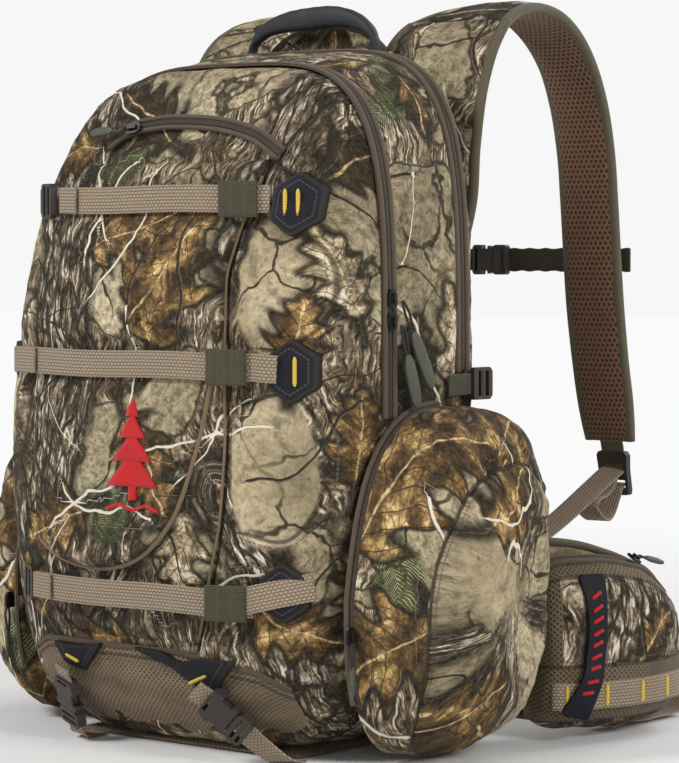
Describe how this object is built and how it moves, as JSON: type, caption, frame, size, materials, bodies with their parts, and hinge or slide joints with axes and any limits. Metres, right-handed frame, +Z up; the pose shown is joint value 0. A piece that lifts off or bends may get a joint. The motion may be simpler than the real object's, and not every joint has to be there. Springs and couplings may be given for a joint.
{
  "type": "hunting backpack",
  "caption": "Hunting day pack with arched zip compartments, raised front pocket, side pockets, boot pocket, shoulder harness and hip wings with pouches.",
  "frame": {"origin": "centre of the footprint on the floor, under the bounding box", "axes": "+Z up along the back, -Y towards the outer front face of the pack, +Y towards the wearer, +X to the wearer's right"},
  "size_m": [0.4948, 0.4656, 0.5645],
  "materials": {
    "camo_fabric": "brushed tricot polyester, printed woodland camouflage, matt",
    "boot_mesh": "coarse open polyester mesh, brown",
    "frame_plastic": "extruded polyethylene sheet, satin",
    "stay_aluminium": "rolled flat bar, satin",
    "back_fabric": "hexagonal spacer mesh with bound edges",
    "foam_pad": "moulded foam covered in golden tan knit",
    "zip_tape": "reversed coil zip tape, brown",
    "taupe_webbing": "20 mm polyester webbing, taupe",
    "olive_webbing": "woven elastic and webbing, olive",
    "rubber_trim": "moulded rubber, charcoal, with yellow bartacks",
    "buckle_plastic": "acetal, dark brown, fine texture",
    "zip_metal": "black painted die casting",
    "puller_rubber": "moulded soft puller on a dark cord, olive"
  },
  "bodies": {
    "pack": {"main_compartment": "camo_fabric", "front_compartment": "camo_fabric", "front_pocket": "camo_fabric", "boot_pocket": "boot_mesh", "base_panel": "camo_fabric", "side_pocket_right": "camo_fabric", "side_pocket_left": "camo_fabric", "frame_sheet": "frame_plastic", "frame_stays": "stay_aluminium", "back_panel": "back_fabric", "back_pads": "foam_pad", "lumbar_pad": "foam_pad", "shoulder_yoke": "camo_fabric", "front_zip": "zip_tape", "main_zip": "zip_tape", "top_pocket_zip": "zip_tape", "side_pocket_zips": "zip_tape", "compression_straps": "taupe_webbing", "strap_keepers": "olive_webbing", "rubber_patches": "rubber_trim", "boot_buckle_sockets": "buckle_plastic", "boot_webbing": "taupe_webbing", "side_compression": "olive_webbing", "lower_webbing": "taupe_webbing", "anchor_webbing": "olive_webbing"},
    "handle": {"haul_handle": "rubber_trim"},
    "harness": {"shoulder_strap_right": "camo_fabric", "shoulder_strap_left": "camo_fabric"},
    "sternum": {"sternum_webbing": "olive_webbing", "sternum_socket": "buckle_plastic"},
    "sternum_clip": {"sternum_plug": "buckle_plastic"},
    "wing_right": {"wing_pad_right": "back_fabric", "hip_pouch_right": "camo_fabric", "hip_zip_right": "zip_tape", "pull_tab_right": "rubber_trim", "hip_webbing_right": "olive_webbing"},
    "wing_left": {"wing_pad_left": "back_fabric", "hip_pouch_left": "camo_fabric", "hip_zip_left": "zip_tape", "pull_tab_left": "rubber_trim", "hip_webbing_left": "olive_webbing"},
    "belt_clip_right": {"belt_plug": "buckle_plastic"},
    "belt_clip_left": {"belt_socket": "buckle_plastic"},
    "front_slider_upper": {"front_slider_upper": "zip_metal"},
    "front_slider_lower": {"front_slider_lower": "zip_metal"},
    "front_puller_upper": {"front_puller_upper": "puller_rubber"},
    "front_puller_lower": {"front_puller_lower": "puller_rubber"},
    "main_slider": {"main_slider": "zip_metal"},
    "top_slider": {"top_slider": "zip_metal"},
    "side_slider_right": {"side_slider_right": "zip_metal"},
    "side_slider_left": {"side_slider_left": "zip_metal"},
    "hip_slider_right": {"hip_slider_right": "zip_metal"},
    "hip_slider_left": {"hip_slider_left": "zip_metal"},
    "compression_lock_top": {"compression_lock_top": "buckle_plastic"},
    "compression_lock_middle": {"compression_lock_middle": "buckle_plastic"},
    "compression_lock_bottom": {"compression_lock_bottom": "buckle_plastic"},
    "strap_lock_right": {"strap_lock_right": "buckle_plastic"},
    "strap_lock_left": {"strap_lock_left": "buckle_plastic"},
    "boot_clip_right": {"boot_plug_right": "buckle_plastic"},
    "boot_clip_left": {"boot_plug_left": "buckle_plastic"}
  },
  "joints": [
    {"name": "handle_flop", "type": "hinge", "parent": "pack", "child": "handle", "pos_m": [0, -0.015, 0.526], "axis": [1, 0, 0], "range_deg": [-6, 45], "stiffness_Nm_per_rad": 0.15},
    {"name": "harness_swing", "type": "hinge", "parent": "pack", "child": "harness", "pos_m": [0, 0.0335, 0.541], "axis": [1, 0, 0], "range_deg": [-16, 10], "deforming": ["lower_webbing"]},
    {"name": "sternum_height", "type": "slide", "parent": "harness", "child": "sternum", "axis": [0, 0, 1], "range_m": [-0.035, 0.035]},
    {"name": "sternum_buckle", "type": "slide", "parent": "sternum", "child": "sternum_clip", "axis": [1, 0, 0], "range_m": [0, 0.022]},
    {"name": "wing_fold_right", "type": "hinge", "parent": "pack", "child": "wing_right", "pos_m": [0.14, -0.0005, 0.08], "axis": [0, 0, 1], "range_deg": [-3, 48]},
    {"name": "wing_fold_left", "type": "hinge", "parent": "pack", "child": "wing_left", "pos_m": [-0.14, -0.0005, 0.08], "axis": [0, 0, -1], "range_deg": [-3, 48]},
    {"name": "belt_plug_adjust", "type": "slide", "parent": "wing_right", "child": "belt_clip_right", "axis": [-1, 0, 0], "range_m": [0, 0.04]},
    {"name": "belt_socket_adjust", "type": "slide", "parent": "wing_left", "child": "belt_clip_left", "axis": [1, 0, 0], "range_m": [0, 0.04]},
    {"name": "front_zip_upper", "type": "slide", "parent": "pack", "child": "front_slider_upper", "axis": [0, 0, 1], "range_m": [0, 0.035]},
    {"name": "front_zip_lower", "type": "slide", "parent": "pack", "child": "front_slider_lower", "axis": [0, 0, 1], "range_m": [-0.004, 0.003]},
    {"name": "front_puller_upper_lift", "type": "hinge", "parent": "front_slider_upper", "child": "front_puller_upper", "pos_m": [0.1715, -0.1235, 0.335], "axis": [0, 1, 0], "range_deg": [-80, 0]},
    {"name": "front_puller_lower_lift", "type": "hinge", "parent": "front_slider_lower", "child": "front_puller_lower", "pos_m": [0.1715, -0.1245, 0.317], "axis": [0, 1, 0], "range_deg": [-80, 0]},
    {"name": "main_zip_open", "type": "slide", "parent": "pack", "child": "main_slider", "axis": [0, 0, 1], "range_m": [-0.01, 0.035]},
    {"name": "top_pocket_open", "type": "slide", "parent": "pack", "child": "top_slider", "axis": [1, 0, 0], "range_m": [0, 0.06]},
    {"name": "side_pocket_open_right", "type": "slide", "parent": "pack", "child": "side_slider_right", "axis": [0, 0, 1], "range_m": [-0.015, 0.02]},
    {"name": "side_pocket_open_left", "type": "slide", "parent": "pack", "child": "side_slider_left", "axis": [0, 0, 1], "range_m": [-0.015, 0.02]},
    {"name": "hip_pouch_open_right", "type": "slide", "parent": "wing_right", "child": "hip_slider_right", "axis": [0, 0.92, -0.3919], "range_m": [0, 0.026]},
    {"name": "hip_pouch_open_left", "type": "slide", "parent": "wing_left", "child": "hip_slider_left", "axis": [0, 0.92, -0.3919], "range_m": [0, 0.026]},
    {"name": "compression_lock_top_tilt", "type": "hinge", "parent": "pack", "child": "compression_lock_top", "pos_m": [-0.10718, -0.20495, 0.408], "axis": [0, 0, 1], "range_deg": [-30, 0]},
    {"name": "compression_lock_middle_tilt", "type": "hinge", "parent": "pack", "child": "compression_lock_middle", "pos_m": [-0.15714, -0.18078, 0.288], "axis": [0, 0, 1], "range_deg": [-30, 0]},
    {"name": "compression_lock_bottom_tilt", "type": "hinge", "parent": "pack", "child": "compression_lock_bottom", "pos_m": [-0.12216, -0.2103, 0.119], "axis": [0, 0, 1], "range_deg": [-30, 0]},
    {"name": "strap_lock_right_tilt", "type": "hinge", "parent": "harness", "child": "strap_lock_right", "pos_m": [0.117, 0.2245, 0.204], "axis": [1, 0, 0], "range_deg": [0, 40]},
    {"name": "strap_lock_left_tilt", "type": "hinge", "parent": "harness", "child": "strap_lock_left", "pos_m": [-0.117, 0.2245, 0.204], "axis": [1, 0, 0], "range_deg": [0, 40]},
    {"name": "boot_buckle_right", "type": "slide", "parent": "pack", "child": "boot_clip_right", "axis": [0.6518, 0.3876, -0.6518], "range_m": [0, 0.008]},
    {"name": "boot_buckle_left", "type": "slide", "parent": "pack", "child": "boot_clip_left", "axis": [-0.1379, 0.3678, -0.9196], "range_m": [0, 0.008]}
  ]
}
